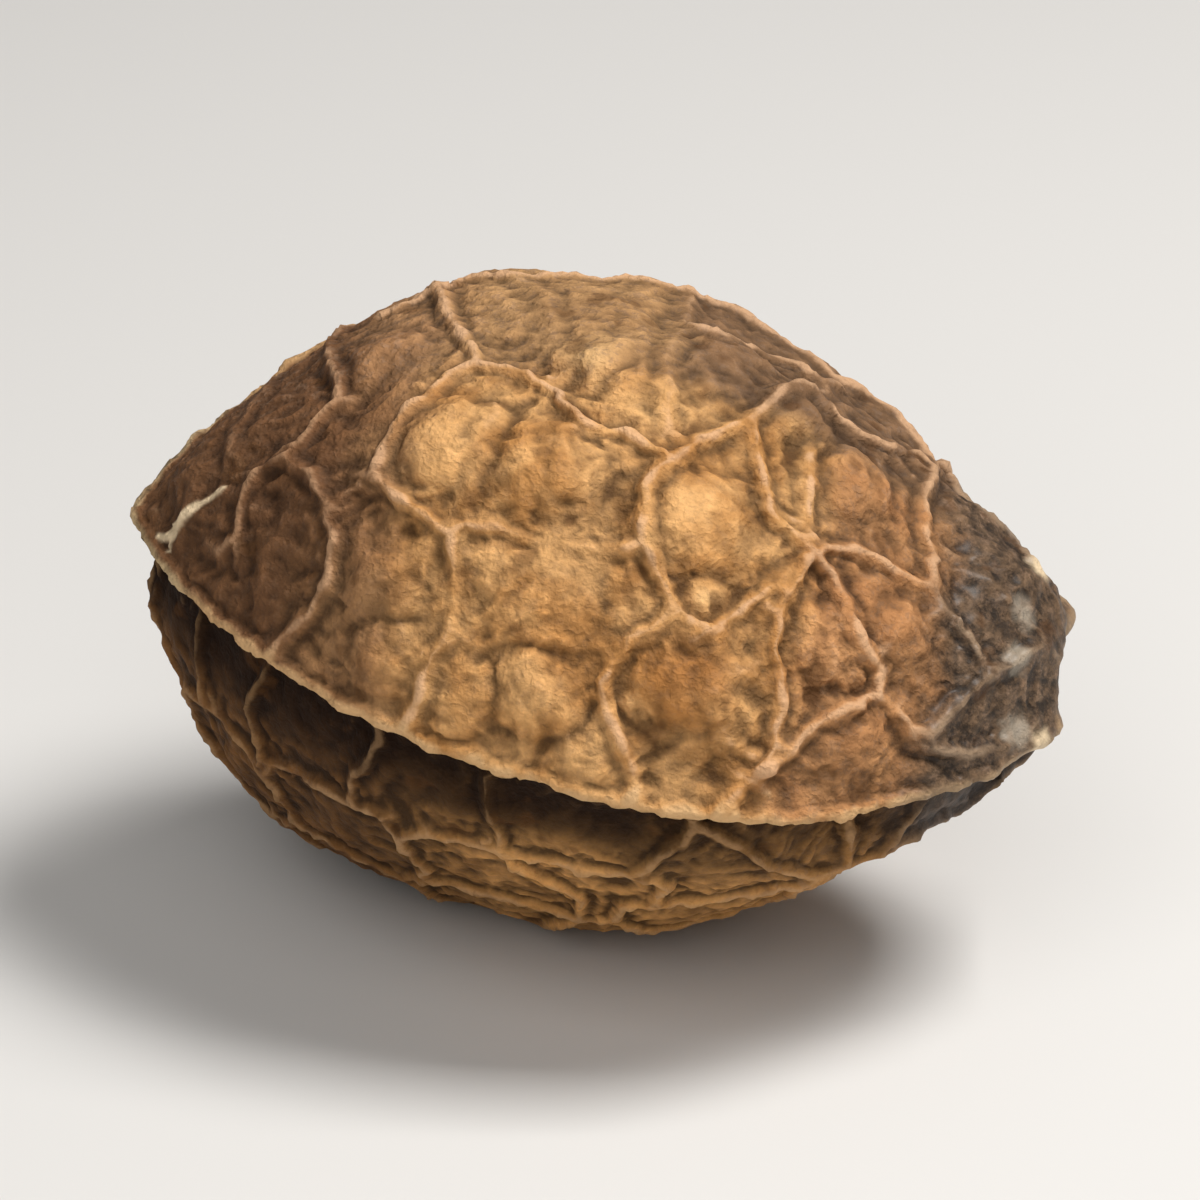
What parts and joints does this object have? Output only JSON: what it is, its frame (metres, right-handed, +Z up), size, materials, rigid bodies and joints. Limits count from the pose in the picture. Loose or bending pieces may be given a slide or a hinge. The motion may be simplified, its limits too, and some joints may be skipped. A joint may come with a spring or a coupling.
{
  "type": "dried net-wrinkled drupe",
  "caption": "Small dried drupe, egg-shaped, with a raised irregular net, a keel round both sides, a pointed apex and a blunt scarred base.",
  "frame": {"origin": "on the floor plane under the middle of the box, metres", "axes": "+X along the long axis from the pointed apex to the blunt base, +Z up from the flat spot that it rests on, +Y away from the near keel"},
  "size_m": [0.0096, 0.007, 0.0066],
  "materials": {
    "dried_husk": "matte dry husk, tan on the ridges, dark brown in the hollows, grey-black towards the base"
  },
  "bodies": {
    "root": {"dried_drupe": "dried_husk"}
  },
  "joints": []
}
